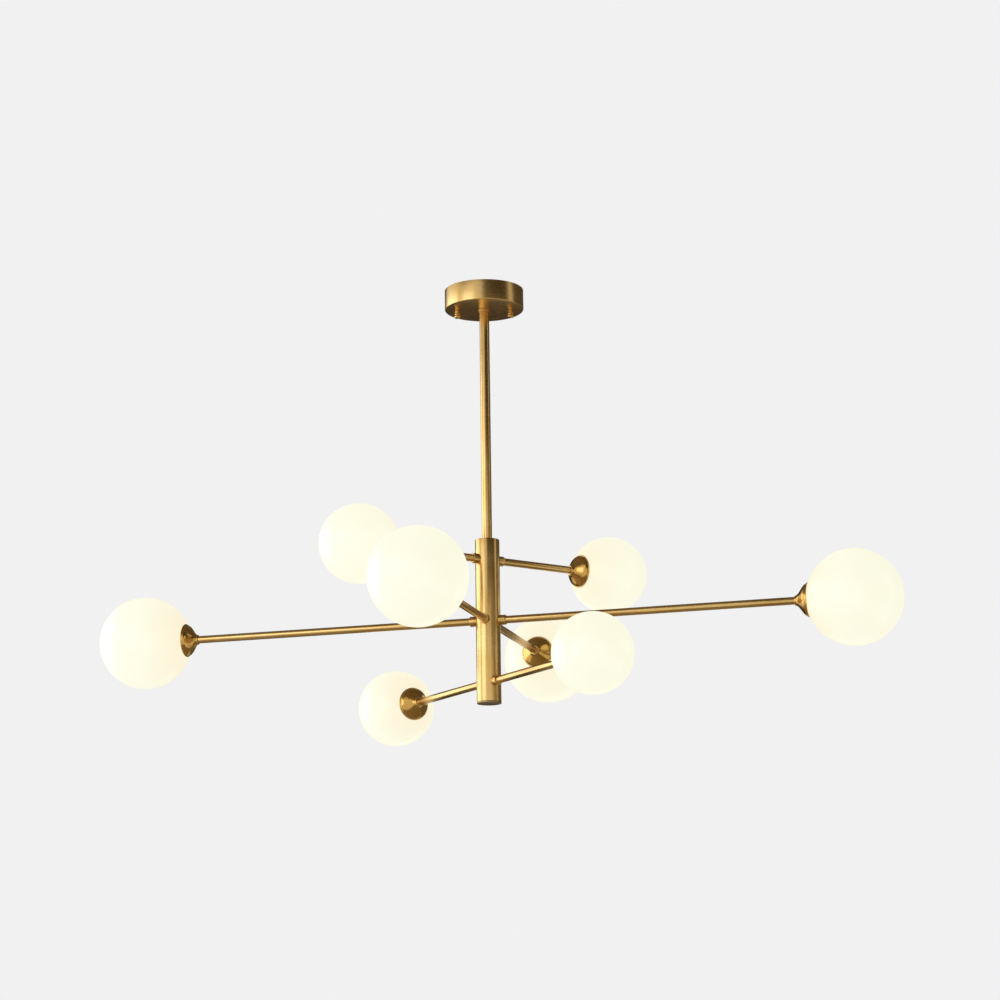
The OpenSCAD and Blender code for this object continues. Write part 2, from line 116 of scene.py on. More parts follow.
class NodeCanvas:
    """Adds and links nodes in one node tree."""

    def __init__(self, tree: Tree) -> None:
        """Keeps the tree."""
        self.tree = tree

    @classmethod
    def cleared(cls, owner: Union[Material, bpy.types.World]) -> "NodeCanvas":
        """Empties the node tree of a material or world.

        Args:
            owner: the material or the world.

        Returns:
            The canvas of its tree.
        """
        owner.use_nodes = True
        owner.node_tree.nodes.clear()
        return cls(owner.node_tree)

    def add(self, kind: str, inputs: Optional[Inputs] = None, **settings: object) -> Node:
        """Adds one node.

        Args:
            kind: the node's type name.
            inputs: an input's name or number to its value, or to the output to link.
            **settings: the node's own properties.

        Returns:
            The new node.
        """
        node = self.tree.nodes.new(kind)
        for name, value in settings.items():
            setattr(node, name, value)
        for key, value in (inputs or {}).items():
            if isinstance(value, Socket):
                self.link(value, node, key)
            else:
                node.inputs[key].default_value = value
        return node

    def out(self, kind: str, inputs: Optional[Inputs] = None, **settings: object) -> Socket:
        """Adds one node, as add does, and returns its first output."""
        return self.add(kind, inputs, **settings).outputs[0]

    def link(self, source: Socket, node: Node, key: Union[str, int]) -> None:
        """Links an output to the named input of a node."""
        self.tree.links.new(source, node.inputs[key])

    def math(self, operation: str, *terms: Value, clamp: bool = False) -> Socket:
        """Adds a Math node.

        Args:
            operation: what it does.
            *terms: its inputs, in order.
            clamp: whether the result is held between 0 and 1.

        Returns:
            The result.
        """
        inputs = dict(enumerate(terms))
        return self.out("ShaderNodeMath", inputs, operation=operation, use_clamp=clamp)

    def weighted(self, *terms: tuple[Socket, float], clamp: bool = False) -> Socket:
        """Adds up sockets of 0 or more by weight.

        Args:
            *terms: pairs of a socket and its weight.
            clamp: whether the sum is held between 0 and 1.

        Returns:
            The sum.
        """
        total: Value = 0.0
        for socket, weight in terms:
            total = self.math("MULTIPLY_ADD", socket, weight, total, clamp=clamp)
        return total

    def scaled(self, vector: Socket, scale: Value) -> Socket:
        """Multiplies a vector by a number."""
        return self.out("ShaderNodeVectorMath", {0: vector, "Scale": scale}, operation="SCALE")

    def mix(self, factor: Socket, first: Value, second: Value) -> Socket:
        """Mixes two colours, each a triple or a socket.

        Args:
            factor: the share of the second colour.
            first: the colour at factor 0.
            second: the colour at factor 1.

        Returns:
            The mixed colour.
        """
        first, second = ((*c, 1.0) if isinstance(c, tuple) else c for c in (first, second))
        node = self.add("ShaderNodeMix", {0: factor, 6: first, 7: second}, data_type="RGBA")
        return node.outputs[2]

    def ramp(self, value: Socket, low: float, high: float, ends: Pair = (0.0, 1.0)) -> Socket:
        """Maps the range from low to high onto the two ends, and holds it there."""
        inputs = {0: value, 1: low, 2: high, 3: ends[0], 4: ends[1]}
        return self.out("ShaderNodeMapRange", inputs, clamp=True)

    def attribute(self, name: str, output: str = "Fac") -> Socket:
        """Reads one of the mesh's own measures."""
        return self.add("ShaderNodeAttribute", attribute_name=name).outputs[output]


class NodeGroup(NodeCanvas):
    """A node group of its own, with what it is given and what it gives."""

    def __init__(self, name: str, kind: str, inputs: dict, outputs: Sequence[str]) -> None:
        """Makes the group and its sockets.

        Args:
            name: the group's name.
            kind: "Shader" or "Geometry".
            inputs: each input's name and default; None where the name is the socket's type.
            outputs: the outputs' names.
        """
        super().__init__(bpy.data.node_groups.new(name, f"{kind}NodeTree"))
        sockets = self.tree.interface
        for label, value in inputs.items():
            form = f"NodeSocket{label}" if value is None else "NodeSocketFloat"
            socket = sockets.new_socket(label, in_out="INPUT", socket_type=form)
            if value is not None:
                socket.default_value = value
        for label in outputs:
            form = "NodeSocketGeometry" if label == "Geometry" else "NodeSocketFloat"
            sockets.new_socket(label, in_out="OUTPUT", socket_type=form)
        self.given = self.add("NodeGroupInput").outputs
        self._gives = self.add("NodeGroupOutput")

    def give(self, label: str, socket: Socket) -> None:
        """Links one of the group's outputs."""
        self.link(socket, self._gives, label)


class ShaderGroups:
    """The shader effects that several finishes share, each built once."""

    DRIFT = 6.0  # how fast turned lines waver round the piece, per metre
    STRETCH = 70.0  # how much longer than wide a drawn streak is

    def __init__(self) -> None:
        """Builds the groups."""
        self.lines = {way: self._lines(way) for way in Brushing}
        self.cloud = self._cloud_tone()
        self.grain = self._fine_grain()

    def _lines(self, way: Brushing) -> Tree:
        """Fine lines round a turned piece, by its 'along', or along a drawn one.

        Args:
            way: which way they run; a drawn piece's Vector is its 'section'.

        Returns:
            A group with the outputs Marks, the fine lines, and Bands, the broad ones.
        """
        inputs = {"Vector": None, "Along": 0.0, "Lines per metre": 0.0, "Bands per metre": 0.0}
        group = NodeGroup(way.value, "Shader", inputs, ("Marks", "Bands"))
        vector, along = group.given["Vector"], group.given["Along"]
        drawn = way is Brushing.LENGTHWISE
        if drawn:
            along = group.math("DIVIDE", along, self.STRETCH)
        for label, rate in (("Marks", "Lines per metre"), ("Bands", "Bands per metre")):
            rate = group.given[rate]
            place = group.scaled(vector, rate if drawn else self.DRIFT)
            inputs = {"Vector": place, "W": group.math("MULTIPLY", along, rate)}
            inputs.update({"Scale": 1.0, "Detail": 3.0})
            noise = group.out("ShaderNodeTexNoise", inputs, noise_dimensions="4D")
            group.give(label, group.ramp(noise, 0.3, 0.7))
        return group.tree

    @staticmethod
    def _cloud_tone() -> Tree:
        """Broad soft patches, as of handling, lacquer or slow tarnish.

        Returns:
            A group with the output Tone.
        """
        group = NodeGroup("Cloud tone", "Shader", {"Vector": None, "Scale": 14.0}, ("Tone",))
        inputs = {"Vector": group.given["Vector"], "Scale": group.given["Scale"]}
        noise = group.out("ShaderNodeTexNoise", {**inputs, "Detail": 4.0, "Distortion": 0.6})
        group.give("Tone", group.ramp(noise, 0.32, 0.68))
        return group.tree

    @staticmethod
    def _fine_grain() -> Tree:
        """Small grains, as of moulded plastic, plating or frosted glass.

        Returns:
            A group with the outputs Cells and Grain.
        """
        sockets = {"Vector": None, "Scale": 900.0}
        group = NodeGroup("Fine grain", "Shader", sockets, ("Cells", "Grain"))
        inputs = {"Vector": group.given["Vector"], "Scale": group.given["Scale"]}
        cells = group.out("ShaderNodeTexVoronoi", inputs)
        grain = group.out("ShaderNodeTexNoise", {**inputs, "Detail": 2.0})
        group.give("Cells", group.ramp(cells, 0.05, 0.6))
        group.give("Grain", group.ramp(grain, 0.3, 0.7))
        return group.tree


# ------------------------------------------------------------------ finishes


@dataclass(frozen=True)
class Finish:
    """A surface of two tones in soft patches with a fine grain: moulded or plated."""

    name: str
    slot: Slot
    light: Triple
    dark: Triple
    roughness: float
    metallic: float = 0.0
    coat: float = 0.0
    coat_roughness: float = 0.08
    cloud_scale: float = 60.0
    grain_scale: float = 900.0
    cells: float = 0.3
    rough_grain: float = 0.1
    rough_cloud: float = 0.05
    bump: float = 0.2
    depth: float = 0.03 * MM

    def build(self, groups: ShaderGroups) -> Material:
        """Builds the material.

        Args:
            groups: the shared effects.

        Returns:
            The material.
        """
        material = bpy.data.materials.new(self.name)
        canvas = NodeCanvas.cleared(material)
        constants = {"Metallic": self.metallic, "Coat Weight": self.coat}
        constants["Coat Roughness"] = self.coat_roughness
        surface = canvas.add("ShaderNodeBsdfPrincipled", constants)
        canvas.add("ShaderNodeOutputMaterial", {"Surface": surface.outputs[0]})
        place = canvas.add("ShaderNodeTexCoord").outputs["Object"]
        inputs = {"Vector": place, "Scale": self.cloud_scale}
        cloud = canvas.out("ShaderNodeGroup", inputs, node_tree=groups.cloud)
        colour, rough, relief = self.paint(canvas, groups, place, cloud)
        canvas.link(colour, surface, "Base Color")
        canvas.link(canvas.math("ADD", rough, self.roughness), surface, "Roughness")
        inputs = {"Strength": self.bump, "Distance": self.depth, "Height": relief}
        canvas.link(canvas.out("ShaderNodeBump", inputs), surface, "Normal")
        self.light_up(canvas, surface, cloud)
        return material

    def paint(
        self, canvas: NodeCanvas, groups: ShaderGroups, place: Socket, cloud: Socket
    ) -> tuple[Socket, Socket, Socket]:
        """Works out the grained surface.

        Args:
            canvas: the material's canvas.
            groups: the shared effects.
            place: the Object coordinates.
            cloud: the soft patches.

        Returns:
            The colour, the change in roughness and the height of the relief.
        """
        inputs = {"Vector": place, "Scale": self.grain_scale}
        grain = canvas.add("ShaderNodeGroup", inputs, node_tree=groups.grain).outputs
        tone = canvas.weighted((cloud, 1.0 - self.cells), (grain["Cells"], self.cells), clamp=True)
        rough = canvas.weighted((grain["Grain"], self.rough_grain), (cloud, self.rough_cloud))
        return canvas.mix(tone, self.dark, self.light), rough, grain["Grain"]

    def light_up(self, canvas: NodeCanvas, surface: Node, cloud: Socket) -> None:
        """Adds no light of its own: only the glass does."""


@dataclass(frozen=True)
class BrushedBrass(Finish):
    """Satin brass with brush lines, soft patches and paler roundings under thin lacquer; the paler
    roundings are partly wear and partly painted highlight.
    """

    light: Triple = (0.63, 0.365, 0.095)
    dark: Triple = (0.53, 0.285, 0.062)
    roughness: float = 0.21
    metallic: float = 1.0
    coat: float = 0.10
    coat_roughness: float = 0.12
    cloud_scale: float = 12.0
    bump: float = 0.25
    depth: float = 0.01 * MM
    rough_grain: float = 0.07
    # Paler colour on roundings, lips and cap-nut balls: partly wear, partly painted highlight.
    wear_and_highlight: Triple = (0.76, 0.52, 0.20)
    wear_and_highlight_range: Pair = (0.35, 0.9)
    cloud_share: float = 0.5
    band_share: float = 0.35
    mark_share: float = 0.15
    way: Brushing = Brushing.ROUND
    lines: float = 2400.0
    bands: float = 330.0
    brushing: float = 1.0

    def paint(
        self, canvas: NodeCanvas, groups: ShaderGroups, place: Socket, cloud: Socket
    ) -> tuple[Socket, Socket, Socket]:
        """Works out the brushed surface.

        Args:
            canvas: the material's canvas.
            groups: the shared effects.
            place: the Object coordinates.
            cloud: the soft patches.

        Returns:
            The colour, the change in roughness and the height of the relief.
        """
        if self.way is Brushing.LENGTHWISE:
            place = canvas.attribute("section", "Vector")
        inputs = {"Vector": place, "Along": canvas.attribute("along")}
        inputs.update({"Lines per metre": self.lines, "Bands per metre": self.bands})
        lines = canvas.add("ShaderNodeGroup", inputs, node_tree=groups.lines[self.way]).outputs
        marks, bands = lines["Marks"], lines["Bands"]
        tone = canvas.weighted(
            (cloud, self.cloud_share), (bands, self.band_share * self.brushing),
            (marks, self.mark_share * self.brushing), clamp=True,
        )
        # Paler brass on roundings, in soft patches: partly wear, partly painted highlight.
        wear_and_highlight_patches = canvas.ramp(cloud, 0.0, 1.0, self.wear_and_highlight_range)
        wear_and_highlight_mask = canvas.math("MULTIPLY", canvas.attribute("edge"), wear_and_highlight_patches)
        colour = canvas.mix(wear_and_highlight_mask, canvas.mix(tone, self.dark, self.light), self.wear_and_highlight)
        fine = self.rough_grain * self.brushing
        return colour, canvas.weighted((marks, fine), (cloud, self.rough_cloud)), marks


@dataclass(frozen=True)
class OpalGlass(Finish):
    """Satin opal glass lit from inside, warmer near its lamp's cup; its own tones hardly vary."""

    light: Triple = (0.2522, 0.2425, 0.20855)
    dark: Triple = (0.26, 0.25, 0.215)
    roughness: float = 0.3
    cloud_scale: float = 9.0
    grain_scale: float = 1400.0
    cells: float = 0.0
    rough_grain: float = 0.06
    rough_cloud: float = 0.04
    bump: float = 0.05
    depth: float = 0.02 * MM
    glow: Triple = (1.0, 0.995, 0.80)
    warm: Triple = (1.0, 0.89, 0.65)
    strength: float = 0.88
    lamp_share: float = 0.85
    patch_share: float = 0.12
    refraction: float = 1.5

    def light_up(self, canvas: NodeCanvas, surface: Node, cloud: Socket) -> None:
        """Lets the glass glow.

        Args:
            canvas: the material's canvas.
            surface: its Principled BSDF.
            cloud: the soft patches.
        """
        lamp = canvas.attribute("lamp")
        near = canvas.weighted((lamp, self.lamp_share), (cloud, self.patch_share), clamp=True)
        canvas.link(canvas.mix(near, self.glow, self.warm), surface, "Emission Color")
        surface.inputs["Emission Strength"].default_value = self.strength
        surface.inputs["IOR"].default_value = self.refraction


class FinishBook:
    """Every finish of the chandelier, built once and looked up by slot."""

    def __init__(self) -> None:
        """Builds all the materials."""
        groups = ShaderGroups()
        turned = BrushedBrass("turned_brass", Slot.BRASS)
        drawn = replace(
            turned, name="drawn_brass", way=Brushing.LENGTHWISE, lines=2000.0, bands=160.0,
            brushing=0.5, bump=0.125,
        )
        # High-gloss brass for the cups and cap nuts: lower roughness, plus a lighter base colour
        # than the turned brass, which is a painted highlight.
        polished_highlit = replace(
            turned, name="polished_highlit_brass", light=(0.69, 0.415, 0.115), dark=(0.59, 0.335, 0.078),
            roughness=0.15, brushing=0.35, bump=0.0875,
        )
        finishes: tuple[Finish, ...] = (
            turned,
            # Its paler roundings are partly wear, partly painted highlight.
            BrushedBrass("dark_brass", Slot.DARK_BRASS, (0.34, 0.225, 0.09), (0.22, 0.14, 0.052),
                         0.32, wear_and_highlight=(0.42, 0.30, 0.14)),
            Finish("zinc_plate", Slot.ZINC, (0.62, 0.63, 0.65), (0.40, 0.41, 0.43), 0.32,
                   metallic=1.0, cloud_scale=90.0, grain_scale=700.0, cells=0.4,
                   rough_grain=0.12, rough_cloud=0.08, bump=0.15, depth=0.05 * MM),
            OpalGlass("opal_glass", Slot.OPAL),
            Finish("glazed_ceramic", Slot.CERAMIC, (0.84, 0.82, 0.78), (0.78, 0.76, 0.72), 0.28,
                   grain_scale=300.0, coat=0.6),
            Finish("frosted_bulb", Slot.BULB, (0.93, 0.92, 0.87), (0.88, 0.87, 0.82), 0.38,
                   grain_scale=2200.0, depth=0.01 * MM),
            Finish("silicone", Slot.SILICONE, (0.62, 0.62, 0.60), (0.54, 0.54, 0.52), 0.55),
            Finish("cable_sheath", Slot.SHEATH, (0.76, 0.74, 0.69), (0.68, 0.66, 0.61), 0.42),
            Finish("block_plastic", Slot.BLOCK, (0.84, 0.84, 0.80), (0.76, 0.76, 0.72), 0.36),
        )
        self.drawn_brass, self.polished_highlit_brass = drawn.build(groups), polished_highlit.build(groups)
        self._materials = {finish.slot: finish.build(groups) for finish in finishes}

    def __getitem__(self, slot: Slot) -> Material:
        """Looks a slot's material up."""
        return self._materials[slot]


# -------------------------------------------------------------------- shapes


def add_object(name: str, data: Optional[bpy.types.ID]) -> Piece:
    """Adds an object at the origin of the scene, with the given data.

    Args:
        name: its name.
        data: its mesh, lamp or camera.

    Returns:
        The object.
    """
    thing = bpy.data.objects.new(name, data)
    bpy.context.scene.collection.objects.link(thing)
    return thing


def arc(centre: Pair, radii: Pair, ends: Pair, steps: int, measure: float) -> Profile:
    """Points on an upright ellipse.

    Args:
        centre: its radius from the axis and its height.
        radii: how far it reaches outwards and upwards.
        ends: the first and the last angle, from straight outwards towards the top.
        steps: how many spans.
        measure: the third value of each point.

    Returns:
        Radius, height and measure of each point.
    """
    turns = [ends[0] + (ends[1] - ends[0]) * step / steps for step in range(steps + 1)]
    return [
        (centre[0] + radii[0] * math.cos(turn), centre[1] + radii[1] * math.sin(turn), measure)
        for turn in turns
    ]


def rounded(corners: Sequence[Triple], steps: int = 4) -> Profile:
    """Rounds the corners of a profile.

    Args:
        corners: radius, height and rounding radius of each corner, in order round the shape.
        steps: spans on each rounding.

    Returns:
        Radius, height and edge measure of each point; the edge measure is 1 on a rounding.
    """
    points: Profile = []
    for index, (radius, height, rounding) in enumerate(corners):
        here = Vector((radius, height))
        before = (Vector(corners[index - 1][:2]) - here).normalized()
        after = (Vector(corners[(index + 1) % len(corners)][:2]) - here).normalized()
        if rounding <= 0.0:
            points.append((radius, height, 0.0))
            continue
        half = before.angle(after) / 2.0
        setback = rounding / math.tan(half)
        centre = here + (before + after).normalized() * (rounding / math.sin(half))
        first = here + before * setback - centre
        sweep = (here + after * setback - centre).angle_signed(first)
        for step in range(steps + 1):
            point = Matrix.Rotation(sweep * step / steps, 2) @ first + centre
            points.append((point.x, point.y, 1.0))
    return points


def outwards(angle: float) -> Vector:
    """The level direction at an angle about the hub, in degrees from +X."""
    return Vector((math.cos(math.radians(angle)), math.sin(math.radians(angle)), 0.0))


def along_arm(angle: float, height: float, distance: float) -> Matrix:
    """The placement whose Z runs outwards along an arm.

    Args:
        angle: the arm's angle about the hub, in degrees from +X.
        height: the arm's height.
        distance: from the hub's axis to the placement's origin.

    Returns:
        The placement.
    """
    up, out = Vector((0.0, 0.0, 1.0)), outwards(angle)
    matrix = Matrix((up.cross(out), up, out)).transposed().to_4x4()
    matrix.translation = out * distance + up * height
    return matrix


@dataclass
class PieceMaker:
    """Makes the visible pieces and ties each to its body, slot and solids."""

    finishes: FinishBook
    made: int = 0

    def turned(
        self,
        name: str,
        parts: Iterable[tuple[Profile, Matrix]],
        segments: int,
        measure: str = "edge",
    ) -> Piece:
        """Turns closed profiles about their own axes into one piece.

        Args:
            name: the piece's name.
            parts: profile and placement of each turned shape.
            segments: spans round each shape.
            measure: the name of the profile's third value, kept as an attribute.

        Returns:
            The piece, with the measures 'along', 'section' and the named one.
        """
        shape = bmesh.new()
        along = shape.verts.layers.float.new("along")
        section = shape.verts.layers.float_vector.new("section")
        extra = shape.verts.layers.float.new(measure)
        for profile, matrix in parts:
            rings = []
            for radius, height, value in profile:
                ring = []
                for step in range(segments if radius > POLE_RADIUS else 1):
                    turn = FULL_TURN * step / segments
                    place = Vector((radius * math.cos(turn), radius * math.sin(turn), height))
                    vertex = shape.verts.new(matrix @ place)
                    vertex[along] = height + radius
                    vertex[section] = place.xy.to_3d()
                    vertex[extra] = value
                    ring.append(vertex)
                rings.append(ring)
            pairs = list(zip(rings, rings[1:]))
            if len(rings[0]) > 1 or len(rings[-1]) > 1:
                pairs.append((rings[-1], rings[0]))
            for lower, upper in pairs:
                self._bridge(shape, lower, upper, segments)
        bmesh.ops.recalc_face_normals(shape, faces=shape.faces)
        piece = self._piece(name, shape)
        self._smooth(piece.data)
        return piece

    @staticmethod
    def _bridge(shape: bmesh.types.BMesh, lower: list, upper: list, segments: int) -> None:
        """Joins two rings, either of which may be a pole.

        Args:
            shape: the mesh under work.
            lower: the first ring's vertices.
            upper: the second ring's vertices.
            segments: spans round the rings.
        """
        for step in range(segments if len(lower) + len(upper) > 2 else 0):
            after = (step + 1) % segments
            if len(lower) == 1:
                corners = (lower[0], upper[after], upper[step])
            elif len(upper) == 1:
                corners = (lower[step], lower[after], upper[0])
            else:
                corners = (lower[step], lower[after], upper[after], upper[step])
            shape.faces.new(corners)

    @staticmethod
    def _piece(name: str, shape: bmesh.types.BMesh) -> Piece:
        """Turns a bmesh into an object.

        Args:
            name: the object's name.
            shape: the mesh under work, which is freed.

        Returns:
            The object.
        """
        mesh = bpy.data.meshes.new(name)
        shape.to_mesh(mesh)
        shape.free()
        return add_object(name, mesh)

    @staticmethod
    def _smooth(mesh: bpy.types.Mesh) -> None:
        """Shades a mesh smooth, with its sharp edges kept."""
        mesh.shade_smooth()
        mesh.set_sharp_from_angle(angle=SHARP_ANGLE)

    @staticmethod
    def _evaluated(piece: Piece) -> bpy.types.Mesh:
        """The mesh that an object's modifiers make.

        Args:
            piece: the object.

        Returns:
            The new mesh.
        """
        bpy.context.view_layer.update()
        graph = bpy.context.evaluated_depsgraph_get()
        return bpy.data.meshes.new_from_object(piece.evaluated_get(graph), depsgraph=graph)

    def cut(self, piece: Piece, cutters: Iterable[Piece]) -> None:
        """Cuts shapes out of a piece and removes the cutters.

        Args:
            piece: the piece, whose mesh is replaced.
            cutters: the shapes to take away.
        """
        for cutter in cutters:
            modifier = piece.modifiers.new("cut", "BOOLEAN")
            modifier.object = cutter
            modifier.solver = "EXACT"
            mesh = self._evaluated(piece)
            piece.modifiers.clear()
            piece.data = mesh
            bpy.data.objects.remove(cutter)
        self._smooth(piece.data)

    def grown(
        self, name: str, tree: Tree, values: dict, lines: Sequence[Sequence[Vector]]
    ) -> Piece:
        """Runs a geometry tree on open polylines and keeps the result as a plain mesh.

        Args:
            name: the piece's name.
            tree: the geometry tree.
            values: the tree's input names to values.
            lines: the points of each line that it starts from.

        Returns:
            The piece.
        """
        shape = bmesh.new()
        for line in lines:
            points = [shape.verts.new(point) for point in line]
            for ends in zip(points, points[1:]):
                shape.edges.new(ends)
        seed = self._piece("seed", shape)
        modifier = seed.modifiers.new("grow", "NODES")
        modifier.node_group = tree
        for item in tree.interface.items_tree:
            if item.in_out == "INPUT" and item.name in values:
                modifier[item.identifier] = values[item.name]
        mesh = self._evaluated(seed)
        bpy.data.objects.remove(seed)
        mesh.name = name
        self._smooth(mesh)
        return add_object(name, mesh)

    def finish(
        self, piece: Piece, slot: Slot, body: str, *nodes: str, material: Optional[Material] = None
    ) -> None:
        """Dresses a piece and ties it to the model.

        Args:
            piece: the finished piece.
            slot: its material slot.
            body: the body that it rides on.
            *nodes: the solids that it stands for.
            material: a variant of the slot's material, where it has its own.
        """
        piece.data.materials.clear()
        piece.data.materials.append(material or self.finishes[slot])
        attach(piece, body)
        if nodes:
            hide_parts(*nodes)
        self.made += 1
        LOG.info("%s rides on %s in %s", piece.name, body, slot.value)

    def carry(self, slot: Slot, *nodes: str) -> None:
        """Dresses solids that stay as they are.

        Args:
            slot: the material slot.
            *nodes: the solids' names.
        """
        for node in nodes:
            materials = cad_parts[node].data.materials
            materials.clear()
            materials.append(self.finishes[slot])
            LOG.info("%s stays, in %s", node, slot.value)


# ------------------------------------------------------------ geometry trees


class GrowthTrees:
    """The geometry node trees: screw threads, twisted leads and rows of screws."""

    def __init__(self) -> None:
        """Builds the trees."""
        self.thread = self._thread()
        self.leads = self._leads()
        self.screws = self._screws()

    @staticmethod
    def _start(name: str, sizes: dict[str, float]) -> NodeGroup:
        """Starts a tree with a seed, the named sizes and a material."""
        sockets = {"Geometry": None, **sizes, "Material": None}
        return NodeGroup(name, "Geometry", sockets, ("Geometry",))

    @staticmethod
    def _end(group: NodeGroup, shape: Socket) -> Tree:
        """Ends a tree in Realize Instances and Set Material.

        Args:
            group: the tree under work.
            shape: the geometry to end with.

        Returns:
            The tree.
        """
        real = group.out("GeometryNodeRealizeInstances", {0: shape})
        inputs = {"Geometry": real, "Material": group.given["Material"]}
        group.give("Geometry", group.out("GeometryNodeSetMaterial", inputs))
        return group.tree

    @staticmethod
    def _swept(group: NodeGroup, path: Socket, sides: int, radius: Socket) -> Socket:
        """Sweeps a closed bar along a path.

        Args:
            group: the tree under work.
            path: the curve to follow.
            sides: of the bar's section.
            radius: of the bar's section.

        Returns:
            The bar.
        """
        inputs = {"Resolution": sides, "Radius": radius}
        section = group.out("GeometryNodeCurvePrimitiveCircle", inputs)
        inputs = {"Curve": path, "Profile Curve": section, "Fill Caps": True}
        return group.out("GeometryNodeCurveToMesh", inputs)

    def _set_out(self, group: NodeGroup, shape: Socket) -> Tree:
        """Sets a shape at each point of the seed, and ends and returns the tree."""
        inputs = {"Points": group.given["Geometry"], "Instance": shape}
        return self._end(group, group.out("GeometryNodeInstanceOnPoints", inputs))

    def _thread(self) -> Tree:
        """A helical ridge, set at each point of the seed, with its axis along Z.

        Returns:
            The tree, with the inputs Radius, Pitch, Length and Depth.
        """
        sizes = {"Radius": 2.0 * MM, "Pitch": 0.7 * MM, "Length": 10.0 * MM, "Depth": 0.3 * MM}
        group = self._start("Screw thread", sizes)
        length, radius = group.given["Length"], group.given["Radius"]
        turns = group.math("DIVIDE", length, group.given["Pitch"])
        inputs = {"Resolution": 20, "Rotations": turns, "Height": length}
        inputs.update({"Start Radius": radius, "End Radius": radius})
        helix = group.out("GeometryNodeCurveSpiral", inputs)
        return self._set_out(group, self._swept(group, helix, 4, group.given["Depth"]))

    def _leads(self) -> Tree:
        """Two cores that twist round each line of the seed.

        Returns:
            The tree, with the inputs Core radius, Lay length and Step.
        """
        sizes = {"Core radius": 0.75 * MM, "Lay length": 18.0 * MM, "Step": 2.2 * MM}
        group = self._start("Twisted lead", sizes)
        radius = group.given["Core radius"]
        path = group.out("GeometryNodeMeshToCurve", {"Mesh": group.given["Geometry"]})
        inputs = {"Curve": path, "Length": group.given["Step"]}
        even = group.out("GeometryNodeResampleCurve", inputs, mode="LENGTH")
        length = group.add("GeometryNodeSplineParameter").outputs["Length"]
        normal = group.out("GeometryNodeInputNormal")
        inputs = {0: group.out("GeometryNodeInputTangent"), 1: normal}
        side = group.out("ShaderNodeVectorMath", inputs, operation="CROSS_PRODUCT")
        turns = group.math("DIVIDE", length, group.given["Lay length"])
        joined = group.add("GeometryNodeJoinGeometry")
        for start in (0.0, 0.5):
            angle = group.math("MULTIPLY", group.math("ADD", turns, start), FULL_TURN)
            shifts = [
                group.scaled(axis, group.math("MULTIPLY", group.math(wave, angle), radius))
                for wave, axis in (("COSINE", normal), ("SINE", side))
            ]
            shift = group.out("ShaderNodeVectorMath", dict(enumerate(shifts)), operation="ADD")
            moved = group.out("GeometryNodeSetPosition", {"Geometry": even, "Offset": shift})
            group.link(self._swept(group, moved, 8, radius), joined, 0)
        return self._end(group, joined.outputs[0])

    def _screws(self) -> Tree:
        """A cheese-head screw at each point of the seed, with its slot across.

        Returns:
            The tree, with the inputs Head radius and Head height.
        """
        sizes = {"Head radius": 1.8 * MM, "Head height": 1.2 * MM}
        group = self._start("Row of screws", sizes)
        radius, height = group.given["Head radius"], group.given["Head height"]
        inputs = {"Vertices": 24, "Radius": radius, "Depth": height}
        head = group.out("GeometryNodeMeshCylinder", inputs)
        slot_sides = ((radius, 2.4), (radius, 0.3), (height, 0.9))
        sides = {axis: group.math("MULTIPLY", *side) for axis, side in enumerate(slot_sides)}
        bar = group.out("GeometryNodeMeshCube", {"Size": group.out("ShaderNodeCombineXYZ", sides)})
        lowered = group.out("ShaderNodeCombineXYZ", {2: group.math("MULTIPLY", height, -0.5)})
        slot = group.out("GeometryNodeTransform", {"Geometry": bar, "Translation": lowered})
        inputs = {"Mesh 1": head, "Mesh 2": slot}
        return self._set_out(
            group, group.out("GeometryNodeMeshBoolean", inputs, operation="DIFFERENCE")
        )


# ------------------------------------------------------------ sub-assemblies


